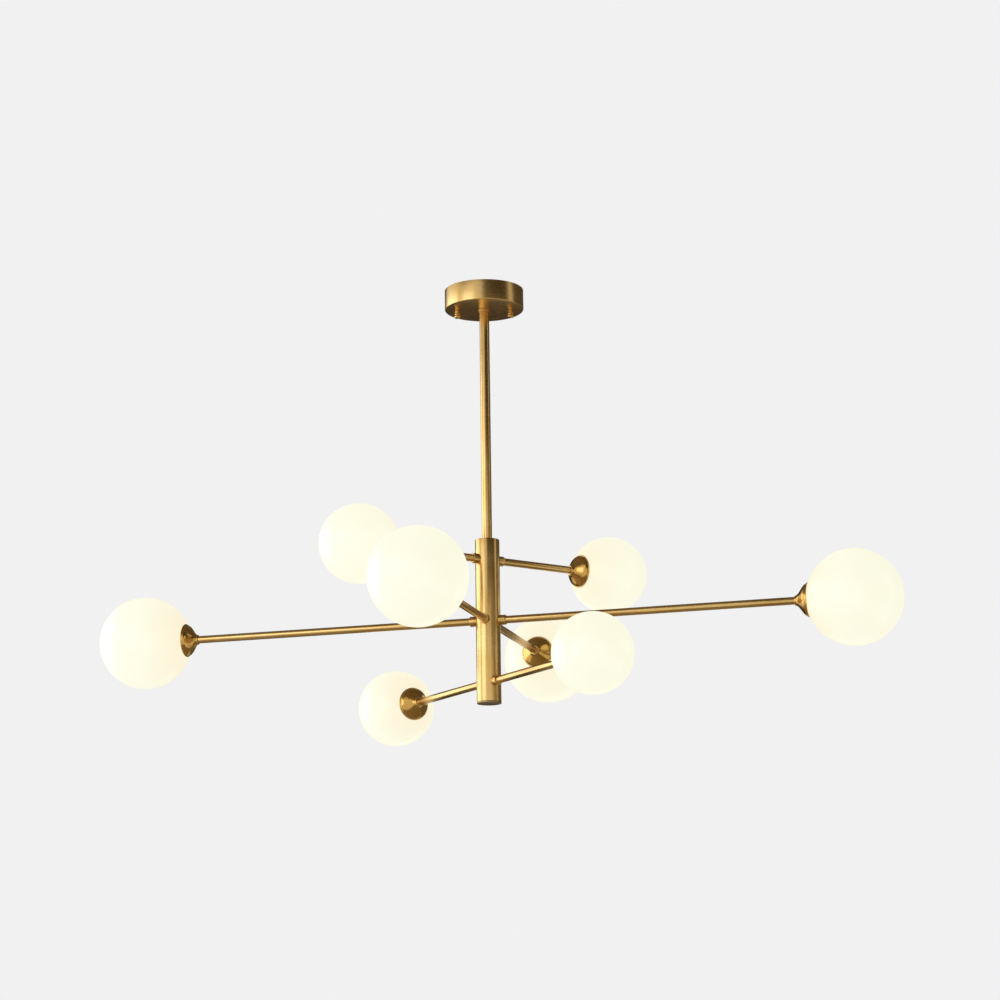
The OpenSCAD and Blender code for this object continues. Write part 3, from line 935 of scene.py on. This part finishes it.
@dataclass
class CeilingMount:
    """The canopy, its cap nuts and the bracket, studs and block inside it."""

    maker: PieceMaker
    trees: GrowthTrees
    canopy_radius: float = 64.0 * MM
    canopy_height: float = 33.0 * MM
    wall: float = 1.5 * MM
    nipple_hole: float = 5.05 * MM
    turn: float = 15.0
    stud_reach: float = 43.5 * MM
    stud_radius: float = 2.0 * MM
    stud_low: float = -43.95 * MM
    stud_length: float = 41.05 * MM
    thread_depth: float = 0.25 * MM
    nut_radius: float = 5.5 * MM
    nut_post_radius: float = 3.8 * MM
    nut_post: float = 4.5 * MM
    nut_bead_radius: float = 4.8 * MM
    nut_bead: float = 3.2 * MM
    nut_height: float = 13.5 * MM
    face_gap: float = 0.2 * MM
    screw_pitch: float = 10.0 * MM
    screw_row: float = 5.5 * MM

    def stud_place(self, side: int, height: float) -> Vector:
        """The place at a height on the left (-1) or right (1) stud's axis."""
        return outwards(self.turn) * self.stud_reach * side + Vector((0.0, 0.0, height))

    def build(self) -> None:
        """Makes the mount's pieces."""
        self._canopy()
        self._cap_nut(-1, "cap_nut_left")
        self._cap_nut(1, "cap_nut_right")
        self._studs()
        self._block_screws()
        self.maker.carry(Slot.ZINC, "ceiling_bracket", "stud_nuts", "nipple_washers")
        self.maker.carry(Slot.ZINC, "nipple_lock_nuts", "top_nipple")
        self.maker.carry(Slot.BLOCK, "terminal_block")

    def _canopy(self) -> None:
        """Spins the canopy's shell and drills its two stud holes."""
        hole, radius, low = self.nipple_hole, self.canopy_radius, -self.canopy_height
        floor, inner = low + self.wall, radius - self.wall
        lip, bend, crease = 0.3 * MM, 1.5 * MM, 0.8 * MM
        corners = (
            (hole, low, 0.0), (radius, low, bend), (radius, 0.0, lip),
            (inner, 0.0, lip), (inner, floor, crease), (hole, floor, 0.0),
        )
        shell = self.maker.turned("canopy_shell", ((rounded(corners, steps=5), Matrix()),), 160)
        bore, reach = self.stud_radius + 0.3 * MM, 5.0 * MM
        drill = [(0.0, -reach, 0.0), (bore, -reach, 0.0), (bore, reach, 0.0), (0.0, reach, 0.0)]
        places = [Matrix.Translation(self.stud_place(side, low)) for side in (-1, 1)]
        cutters = [self.maker.turned("drill", ((drill, place),), COARSE) for place in places]
        self.maker.cut(shell, cutters)
        self.maker.finish(shell, Slot.BRASS, "frame", "canopy")

    def _cap_nut(self, side: int, name: str) -> None:
        """Turns one cap nut: a post with a bead, and a ball below it.

        Args:
            side: -1 for the left one, 1 for the right one.
            name: the solid's name, also its body's.
        """
        radius, post, edge = self.nut_radius, self.nut_post_radius, 0.3 * MM
        bore = self.stud_radius + FIT
        depth = self.nut_height - radius / 2 + 0.5 * MM
        profile: Profile = [(bore, 0.0, 0.0), (post - edge, 0.0, 0.0), (post, edge, 0.6)]
        spans = 16
        for step in range(spans + 1):
            share = step / spans
            bulge = (self.nut_bead_radius - post) * math.sin(math.pi * share)
            profile.append((post + bulge, self.nut_post + self.nut_bead * share, bulge / MM * 0.4))
        start = math.acos(post / radius)
        rise = (self.nut_height - self.nut_post - self.nut_bead) / (1.0 + math.sin(start))
        centre, ends = (0.0, self.nut_height - rise), (-start, RIGHT_ANGLE)
        profile += arc(centre, (radius, rise), ends, 24, 0.35)[1:]
        profile += [(0.0, depth, 0.0), (bore, depth - 0.4 * MM, 0.0)]
        place = Matrix.Translation(self.stud_place(side, -self.canopy_height - self.face_gap))
        place = place @ Matrix.Diagonal((1.0, 1.0, -1.0, 1.0))
        nut = self.maker.turned(name + "_knob", ((profile, place),), ROUND)
        self.maker.finish(nut, Slot.BRASS, name, name, material=self.maker.finishes.polished_highlit_brass)

    def _studs(self) -> None:
        """Turns and threads the two studs."""
        core, length, edge = self.stud_radius - self.thread_depth, self.stud_length, 0.3 * MM
        corners = ((0.0, 0.0, 0.0), (core, 0.0, edge), (core, length, edge), (0.0, length, 0.0))
        profile = rounded(corners)
        places = [self.stud_place(side, self.stud_low) for side in (-1, 1)]
        parts = [(profile, Matrix.Translation(place)) for place in places]
        cores = self.maker.turned("stud_cores", parts, COARSE)
        self.maker.finish(cores, Slot.ZINC, "frame", "bracket_studs")
        lift = Vector((0.0, 0.0, 0.5 * MM))
        values = {
            "Radius": core,
            "Length": length - 2.0 * lift.z,
            "Depth": self.thread_depth - 0.01 * MM,
            "Material": self.maker.finishes[Slot.ZINC],
        }
        starts = [[place + lift] for place in places]
        ridges = self.maker.grown("stud_threads", self.trees.thread, values, starts)
        self.maker.finish(ridges, Slot.ZINC, "frame")

    def _block_screws(self) -> None:
        """Sets the terminal block's screws."""
        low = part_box("terminal_block")[0].z - 0.5 * MM
        turn = Matrix.Rotation(math.radians(self.turn), 4, "Z")
        rows = [
            [turn @ Vector((pitch * self.screw_pitch, side * self.screw_row, low))]
            for pitch in (-1, 0, 1) for side in (-1, 1)
        ]
        values = {"Material": self.maker.finishes[Slot.ZINC]}
        heads = self.maker.grown("block_screws", self.trees.screws, values, rows)
        self.maker.finish(heads, Slot.ZINC, "frame")


@dataclass
class RodAndHub:
    """The down rod with its flange, and the hub with its cap and collars.

    Its places are the angle and the height of each arm.
    """

    maker: PieceMaker
    places: Sequence[Pair]
    rod_radius: float = 8.0 * MM
    rod_bore: float = 6.8 * MM
    rod_top: float = -35.5 * MM
    flange_radius: float = 9.5 * MM
    flange_top: float = -33.0 * MM
    hub_radius: float = 19.5 * MM
    hub_bore: float = 17.5 * MM
    hub_top: float = -416.5 * MM
    hub_low: float = -678.3 * MM
    cap_low: float = -680.5 * MM
    cap_gap: float = 0.2 * MM
    spigot: float = 8.0 * MM
    spigot_wall: float = 3.0 * MM
    plug: float = 4.0 * MM
    nipple_hole: float = 5.05 * MM
    collar_radius: float = 8.0 * MM
    collar_length: float = 10.0 * MM
    arm_radius: float = 6.0 * MM

    def build(self) -> None:
        """Makes the rod's and the hub's pieces."""
        hole, bore, top = self.nipple_hole, self.hub_bore, self.hub_top
        drawn = self.maker.finishes.drawn_brass
        # name, solid, outer and inner radius, lower and upper end, edge radius, spans, material
        tubes = (
            ("down_rod_tube", "down_rod", self.rod_radius, self.rod_bore, top, self.rod_top,
             0.3 * MM, ROUND, drawn),
            ("rod_flange_disc", "rod_flange", self.flange_radius, hole, self.rod_top,
             self.flange_top, 0.6 * MM, ROUND, None),
            ("hub_tube_body", "hub_tube", self.hub_radius, bore, self.hub_low, top,
             0.7 * MM, FINE, drawn),
            ("hub_top_disc", "hub_top_plug", bore - FIT, hole, top - self.plug, top,
             0.3 * MM, 96, None),
        )
        for name, node, radius, inner, low, high, edge, spans, material in tubes:
            fine = min(edge, 0.2 * MM)
            corners = (
                (inner, low, fine), (radius, low, edge), (radius, high, edge), (inner, high, fine)
            )
            tube = self.maker.turned(name, ((rounded(corners), Matrix()),), spans)
            self.maker.finish(tube, Slot.BRASS, "frame", node, material=material)
        self._cap()
        self._collars()
        self.maker.carry(Slot.DARK_BRASS, "rod_bushings")
        self.maker.carry(Slot.ZINC, "hub_nipple", "arm_nipples", "arm_washers", "arm_lock_nuts")

    def _cap(self) -> None:
        """Turns the hub's bottom cap with its spigot; the spigot's thread is not drawn."""
        radius, spigot, seat = self.hub_radius, self.hub_bore - FIT, self.hub_low
        inner, face, end = spigot - self.spigot_wall, seat - self.cap_gap, seat + self.spigot
        corners = (
            (0.0, self.cap_low, 0.0), (radius, self.cap_low, 0.6 * MM),
            (radius, face, 0.2 * MM), (spigot, face, 0.1 * MM),
            (spigot, end, 0.4 * MM), (inner, end, 0.3 * MM),
            (inner, seat, 0.5 * MM), (0.0, seat, 0.0),
        )
        cap = self.maker.turned("hub_bottom_disc", ((rounded(corners), Matrix()),), FINE)
        self.maker.finish(cap, Slot.DARK_BRASS, "hub_bottom_cap", "hub_bottom_cap")

    def _collars(self) -> None:
        """Turns the eight collars and fits their roots to the hub."""
        start, end = self.hub_bore, self.hub_radius + self.collar_length
        bore, radius = self.arm_radius + FIT, self.collar_radius
        corners = (
            (bore, start, 0.0), (radius, start, 0.0), (radius, end, 0.8 * MM), (bore, end, 0.2 * MM)
        )
        profile = rounded(corners)
        parts = [(profile, along_arm(angle, height, 0.0)) for angle, height in self.places]
        collars = self.maker.turned("arm_collar_rings", parts, ROUND)
        hub, low, top = self.hub_radius + FIT, self.hub_low, self.hub_top
        block = [(0.0, low, 0.0), (hub, low, 0.0), (hub, top, 0.0), (0.0, top, 0.0)]
        self.maker.cut(collars, [self.maker.turned("hub_cutter", ((block, Matrix()),), FINE)])
        self.maker.finish(collars, Slot.BRASS, "frame", "arm_collars")


@dataclass
class Light:
    """One arm with its cup, seal ring and globe."""

    number: int
    tier: Tier
    angle: float
    reach: float
    size: GlobeSize
    arm_radius: float = 6.0 * MM
    arm_bore: float = 5.0 * MM
    arm_root: float = 20.0 * MM
    arm_seat: float = 2.0 * MM
    cup_length: float = 22.0 * MM
    rim_radius: float = 27.0 * MM
    rim_width: float = 1.5 * MM
    lip_radius: float = 1.0 * MM
    lip_step: float = 0.4 * MM
    tip_wall: float = 2.0 * MM
    tip_rounding: float = 1.0 * MM
    flare: float = 0.95
    floor: float = 7.6 * MM
    socket_end: float = 16.3 * MM
    socket_radius: float = 11.3 * MM
    thread_hole: float = 5.05 * MM
    neck_radius: float = 11.0 * MM
    neck_start: float = 10.0 * MM
    neck_length: float = 3.0 * MM
    glass: float = 2.5 * MM
    glass_gap: float = 0.3 * MM
    seal_start: float = 7.9 * MM
    seal_thickness: float = 1.8 * MM
    seal_width: float = 2.8 * MM
    warm_share: float = 0.45

    @property
    def centre(self) -> float:
        """The distance from the cup's small end to the globe's centre."""
        mouth = self.rim_radius - self.rim_width
        return self.cup_length + math.sqrt((self.size.value + self.glass_gap) ** 2 - mouth**2)

    @property
    def tip(self) -> float:
        """The distance from the hub's axis to the cup's small end."""
        return self.reach - self.centre

    def build(self, maker: PieceMaker) -> None:
        """Makes the light's pieces.

        Args:
            maker: the piece maker.
        """
        drawn, polished_highlit = maker.finishes.drawn_brass, maker.finishes.polished_highlit_brass
        arm, cup = f"arm_{self.number}", f"cup_{self.number}"
        seal, globe = f"seal_ring_{self.number}", f"globe_{self.number}"
        # name, profile, distance from the hub, spans, measure, slot, body, solid, material
        pieces = (
            (arm + "_tube", self._arm(), 0.0, ROUND, "edge", Slot.BRASS, "frame", arm, drawn),
            (cup + "_bell", self._cup(), self.tip, 96, "edge", Slot.BRASS, "frame", cup, polished_highlit),
            (seal + "_band", self._seal(), self.tip, ROUND, "edge",
             Slot.SILICONE, seal, seal, None),
            (globe + "_glass", self._globe(), self.tip, 96, "lamp", Slot.OPAL, globe, globe, None),
        )
        for name, profile, distance, spans, measure, slot, body, node, material in pieces:
            place = along_arm(self.angle, self.tier.value, distance)
            piece = maker.turned(name, ((profile, place),), spans, measure)
            maker.finish(piece, slot, body, node, material=material)

    def _arm(self) -> Profile:
        """The arm's tube, from inside the hub to its seat in the cup.

        Returns:
            Its profile.
        """
        bore, radius, start, end = self.arm_bore, self.arm_radius, self.arm_root, self.tip
        end += self.arm_seat
        outer, inner = 0.4 * MM, 0.2 * MM
        return rounded(
            ((bore, start, inner), (radius, start, outer), (radius, end, outer), (bore, end, inner))
        )

    def _cup(self) -> Profile:
        """The bell-shaped cup: its tip, flare, lip, mouth, socket and floor.

        Returns:
            Its profile.
        """
        tip, seat, edge = self.arm_radius + self.tip_wall, self.arm_radius + FIT, self.tip_rounding
        lip = self.lip_radius
        length = self.cup_length - 2.0 * lip - edge
        spread = self.rim_radius - lip - self.lip_step - tip
        profile = [(self.thread_hole, self.arm_seat, 0.0), (seat, self.arm_seat, 0.0)]
        profile.append((seat, 0.0, 0.0))
        profile += arc((tip - edge, edge), (edge, edge), (-RIGHT_ANGLE, 0.0), 4, 1.0)
        spans = 40
        for step in range(1, spans + 1):
            share = step / spans
            opening = (1.0 - math.cos(math.pi * share**self.flare)) / 2
            profile.append((tip + spread * opening, edge + length * share, 0.0))
        centre, ends = (self.rim_radius - lip, self.cup_length - lip), (-RIGHT_ANGLE, RIGHT_ANGLE)
        profile += arc(centre, (lip, lip), ends, 12, 0.8)
        socket = self.socket_radius
        profile += [
            (self.rim_radius - self.rim_width, self.cup_length, 0.5),
            (socket, self.socket_end, 0.2),
            (socket, self.floor, 0.0),
            (self.thread_hole, self.floor, 0.0),
        ]
        return profile

    def _seal(self) -> Profile:
        """The seal ring, with rounded edges.

        Returns:
            Its profile.
        """
        outer, inner = self.neck_radius, self.neck_radius - self.seal_width
        start, end, soft = self.seal_start, self.seal_start + self.seal_thickness, 0.4 * MM
        return rounded(
            ((inner, start, soft), (outer, start, soft), (outer, end, soft), (inner, end, soft))
        )

    def _globe(self) -> Profile:
        """The globe: one closed wall of glass with its neck, out and back again.

        Returns:
            Its profile.
        """
        radius, neck = self.size.value, self.neck_radius
        outside = self._glass_line(radius, neck)
        return outside + self._glass_line(radius - self.glass, neck - self.glass)[::-1]

    def _glass_line(self, radius: float, neck: float) -> Profile:
        """One side of the glass, from the neck's end to the far pole.

        Args:
            radius: the sphere's radius on this side.
            neck: the neck's radius on this side.

        Returns:
            Radius, height and lamp measure of each point; the measure is 1 at the lamp.
        """
        points = [(neck, self.neck_start, 0.0), (neck, self.neck_start + self.neck_length, 0.0)]
        ends = (math.asin(neck / radius) - RIGHT_ANGLE, RIGHT_ANGLE)
        points += arc((0.0, self.centre), (radius, radius), ends, 56, 0.0)
        line = []
        for ring, height, _ in points:
            share = min(max((height - self.centre + radius) / (2.0 * radius), 0.0), 1.0)
            line.append((ring, height, max(0.0, 1.0 - share / self.warm_share) ** 1.5))
        return line


@dataclass
class Wiring:
    """The leads from the junction in the hub to the lampholders, and the lamp parts."""

    maker: PieceMaker
    trees: GrowthTrees
    lights: Sequence[Light]
    ring_radius: float = 7.5 * MM
    bend: float = 3.0 * MM
    junction: float = -498.0 * MM
    junction_half: float = 13.0 * MM
    seat: float = 3.0 * MM
    end_gap: float = 0.3 * MM

    def path(self, light: Light) -> list[Vector]:
        """The line of one lamp's lead.

        Args:
            light: the light that it feeds.

        Returns:
            The line's points, from the junction to the lampholder.
        """
        out, up, level = outwards(light.angle), Vector((0.0, 0.0, 1.0)), light.tier.value
        rise = 1.0 if level < self.junction else -1.0
        root = self.junction - rise * (self.junction_half - self.seat)
        points = [out * self.ring_radius + up * root]
        spans = 6
        for step in range(spans + 1):
            angle = RIGHT_ANGLE * step / spans
            reach = self.ring_radius + self.bend * (1.0 - math.cos(angle))
            points.append(out * reach + up * (level + rise * self.bend * (1.0 - math.sin(angle))))
        far = light.tip + light.floor + self.seat - self.end_gap
        return points + [out * far + up * level]

    def build(self) -> None:
        """Makes the leads and dresses the lamp parts."""
        values = {"Material": self.maker.finishes[Slot.SHEATH]}
        paths = [self.path(light) for light in self.lights]
        leads = self.maker.grown("lamp_lead_cores", self.trees.leads, values, paths)
        self.maker.finish(leads, Slot.SHEATH, "frame", "lamp_leads")
        self.maker.carry(Slot.SHEATH, "supply_lead")
        self.maker.carry(Slot.BLOCK, "lead_junction")
        self.maker.carry(Slot.CERAMIC, "lampholders")
        self.maker.carry(Slot.BULB, "bulbs")


# --------------------------------------------------------------------- stage


@dataclass
class Studio:
    """The pale floor and surround, the lamps, the dark cards and the camera."""

    target: Triple = (0.0, 0.0, -0.5)
    floor_height: float = -2.3
    floor_half: float = 14.0
    floor_grey: float = 0.8
    floor_share: float = 0.97
    pale: float = 0.88
    room: Triple = (1.0, 0.99, 0.97)
    room_strength: float = 0.3
    lamp_tint: Triple = (0.94, 1.02, 1.22)
    card_tint: Triple = (1.0, 0.83, 0.62)
    sensor: float = 36.0
    focal_px: float = 2791.9
    frame_px: float = 1000.0
    eye: Triple = (1.1900, -4.1962, -1.3673)
    yaw: float = 15.551
    pitch: float = 13.119
    roll: float = -0.800

    # name, bearing and elevation, distance, width and height, brightness (1 is white)
    LAMPS = (
        ("key_softbox", (-106.0, 4.0), 2.9, (2.6, 2.2), 1.5),
        ("front_softbox", (-47.0, 8.0), 3.4, (2.0, 1.7), 1.4),
    )
    # name, distance, foot and head, bearings of the edges, grey above and below the ceiling
    STANDING = (
        ("card_upper_right", 2.6, (0.0, 1.35), (-4.0, 75.0), 0.15, 0.66),
        ("card_lower_right", 2.6, (-1.2, 0.0), (26.0, 83.0), 0.66, 0.75),
        ("card_right_back", 2.8, (-1.9, 1.35), (90.0, 168.0), 0.24, 0.40),
        ("card_back", 3.0, (-1.9, 1.35), (168.0, 219.0), 0.12, 0.16),
        ("card_low_left", 2.1, (-2.2, -1.35), (186.0, 246.0), 0.20, 0.20),
    )
    # name, half its side, height, grey
    LYING = (("card_above", 2.6, 1.4, 0.42), ("card_below", 2.0, -2.1, 0.63))

    def build(self) -> None:
        """Sets the stage, the lamps, the world and the camera."""
        self._floor()
        self._world()
        for lamp in self.LAMPS:
            self._lamp(*lamp)
        self._cards()
        self._camera()

    def _seen_from_hub(self, bearing: float, rise: float, distance: float) -> Vector:
        """A place given from the hub.

        Args:
            bearing: degrees to the right of the camera, seen from the hub.
            rise: degrees up.
            distance: how far away.

        Returns:
            The place.
        """
        turn, rise = math.radians(bearing), math.radians(rise)
        level = outwards(self.yaw - 90.0) * math.cos(turn) + outwards(self.yaw) * math.sin(turn)
        up = Vector((0.0, 0.0, math.sin(rise)))
        return Vector(self.target) + (level * math.cos(rise) + up) * distance

    def _lamp(
        self, name: str, bearing: Pair, distance: float, size: Pair, brightness: float
    ) -> None:
        """Adds one softbox aimed at the hub.

        Args:
            name: the lamp's name.
            bearing: degrees to the right of the camera, seen from the hub, and degrees up.
            distance: how far from the hub it stands.
            size: its width and height.
            brightness: how bright its face is, where 1 is white.
        """
        data = bpy.data.lights.new(name, "AREA")
        data.shape = "RECTANGLE"
        data.size, data.size_y = size
        data.energy = brightness * math.pi * size[0] * size[1]
        data.color = self.lamp_tint
        lamp = add_object(name, data)
        lamp.location = self._seen_from_hub(*bearing, distance)
        aim = Vector(self.target) - lamp.location
        lamp.rotation_euler = aim.to_track_quat("-Z", "Y").to_euler()

    @staticmethod
    def _plate(name: str, corners: Sequence[Vector], material: Material) -> Piece:
        """Adds a four-cornered sheet to the stage.

        Args:
            name: its name.
            corners: its corners, in order.
            material: its material.

        Returns:
            The sheet.
        """
        mesh = bpy.data.meshes.new(name)
        mesh.from_pydata(list(corners), [], [(0, 1, 2, 3)])
        mesh.materials.append(material)
        plate = add_object(name, mesh)
        return plate

    @staticmethod
    def _square(half: float, height: float) -> list[Vector]:
        """The corners of a level square, by half its side and its height."""
        signs = ((-1, -1), (1, -1), (1, 1), (-1, 1))
        return [Vector((x * half, y * half, height)) for x, y in signs]

    @staticmethod
    def _seen(canvas: NodeCanvas) -> Socket:
        """Tells rays that show a thing from those that light by it.

        Args:
            canvas: the canvas of the material or of the world.

        Returns:
            1 for rays from the camera, off gloss and through glass, otherwise 0.
        """
        rays = canvas.add("ShaderNodeLightPath").outputs
        seen = canvas.math("ADD", rays["Is Camera Ray"], rays["Is Glossy Ray"])
        return canvas.math("ADD", seen, rays["Is Transmission Ray"], clamp=True)

    def _floor(self) -> None:
        """Lays the plain pale floor, which keeps the object's shadow."""
        material = bpy.data.materials.new("pale_floor")
        canvas = NodeCanvas.cleared(material)
        matt = canvas.out("ShaderNodeBsdfDiffuse", {"Color": (*[self.floor_grey] * 3, 1.0)})
        pale = canvas.out("ShaderNodeEmission", {"Color": (*[self.pale] * 3, 1.0), "Strength": 1.0})
        share = canvas.math("MULTIPLY", self._seen(canvas), self.floor_share)
        both = canvas.out("ShaderNodeMixShader", {0: share, 1: matt, 2: pale})
        canvas.add("ShaderNodeOutputMaterial", {"Surface": both})
        self._plate("studio_floor", self._square(self.floor_half, self.floor_height), material)

    def _world(self) -> None:
        """Lights the room evenly and shows a pale surround to camera, gloss and glass."""
        world = bpy.data.worlds.new("studio")
        bpy.context.scene.world = world
        canvas = NodeCanvas.cleared(world)
        room, pale = (
            canvas.out("ShaderNodeBackground", {"Color": (*colour, 1.0), "Strength": strength})
            for colour, strength in ((self.room, self.room_strength), ([self.pale] * 3, 1.0))
        )
        both = canvas.out("ShaderNodeMixShader", {0: self._seen(canvas), 1: room, 2: pale})
        canvas.add("ShaderNodeOutputWorld", {"Surface": both})

    def _cards(self) -> None:
        """Sets dark cards that only the gloss sees, for the depth of the brass."""
        cards = []
        for name, distance, (foot, head), bearings, high, low in self.STANDING:
            left, right = (self._seen_from_hub(bearing, 0.0, distance) for bearing in bearings)
            places = ((left, foot), (right, foot), (right, head), (left, head))
            cards.append((name, [Vector((*p.xy, height)) for p, height in places], high, low))
        for name, half, height, grey in self.LYING:
            cards.append((name, self._square(half, height), grey, grey))
        for name, corners, high, low in cards:
            card = self._plate(name, corners, self._card_material(name, high, low))
            card.visible_camera = card.visible_diffuse = False
            card.visible_transmission = card.visible_shadow = False

    def _card_material(self, name: str, high: float, low: float) -> Material:
        """A matt material that may change with the height.

        Args:
            name: its name.
            high: its grey half a metre above the ceiling.
            low: its grey half a metre below it, and further down.

        Returns:
            The material.
        """
        material = bpy.data.materials.new(name)
        canvas = NodeCanvas.cleared(material)
        place = canvas.add("ShaderNodeTexCoord").outputs["Object"]
        height = canvas.add("ShaderNodeSeparateXYZ", {0: place}).outputs[2]
        tones = (tuple(grey * part for part in self.card_tint) for grey in (low, high))
        tone = canvas.mix(canvas.ramp(height, -0.5, 0.5), *tones)
        matt = canvas.out("ShaderNodeBsdfDiffuse", {"Color": tone})
        canvas.add("ShaderNodeOutputMaterial", {"Surface": matt})
        return material

    def _camera(self) -> None:
        """Puts the camera where the photograph was taken from."""
        data = bpy.data.cameras.new("camera")
        data.sensor_width = self.sensor
        data.lens = self.focal_px / self.frame_px * self.sensor
        data.clip_start, data.clip_end = 0.1, 60.0
        pitch, roll = math.radians(self.pitch), math.radians(self.roll)
        level, up = outwards(self.yaw + 90.0), Vector((0.0, 0.0, 1.0))
        ahead = level * math.cos(pitch) + up * math.sin(pitch)
        right = outwards(self.yaw)
        above = right.cross(ahead)
        tilted_right = right * math.cos(roll) + above * math.sin(roll)
        tilted_above = above * math.cos(roll) - right * math.sin(roll)
        matrix = Matrix((tilted_right, tilted_above, -ahead)).transposed().to_4x4()
        matrix.translation = self.eye
        camera = add_object("camera", data)
        camera.matrix_world = matrix
        bpy.context.scene.camera = camera


# ---------------------------------------------------------------------- main


def lights_of_the_chandelier() -> list[Light]:
    """The eight lights, in the order of their numbers: one end of each bar, then the other.

    Returns:
        The lights.
    """
    bars = (
        (Tier.MIDDLE, 0.0, 585.0 * MM, GlobeSize.LARGE),
        (Tier.UPPER, 50.0, 240.0 * MM, GlobeSize.SMALL),
        (Tier.MIDDLE, 90.0, 375.0 * MM, GlobeSize.LARGE),
        (Tier.LOWER, 137.0, 300.0 * MM, GlobeSize.SMALL),
    )
    ends = [(tier, angle + turn, reach, size) for turn in (0.0, 180.0)
            for tier, angle, reach, size in bars]
    return [Light(number, *end) for number, end in enumerate(ends, start=1)]


def main() -> None:
    """Builds the chandelier's pieces, its finishes and the studio."""
    logging.basicConfig(level=logging.INFO, format="%(name)s: %(message)s")
    maker = PieceMaker(FinishBook())
    trees = GrowthTrees()
    lights = lights_of_the_chandelier()
    Studio().build()
    CeilingMount(maker, trees).build()
    RodAndHub(maker, [(light.angle, light.tier.value) for light in lights]).build()
    for light in lights:
        light.build(maker)
    Wiring(maker, trees, lights).build()
    bpy.context.scene.view_settings.view_transform = "Standard"
    LOG.info("%d pieces made", maker.made)


if __name__ == "__main__":
    main()
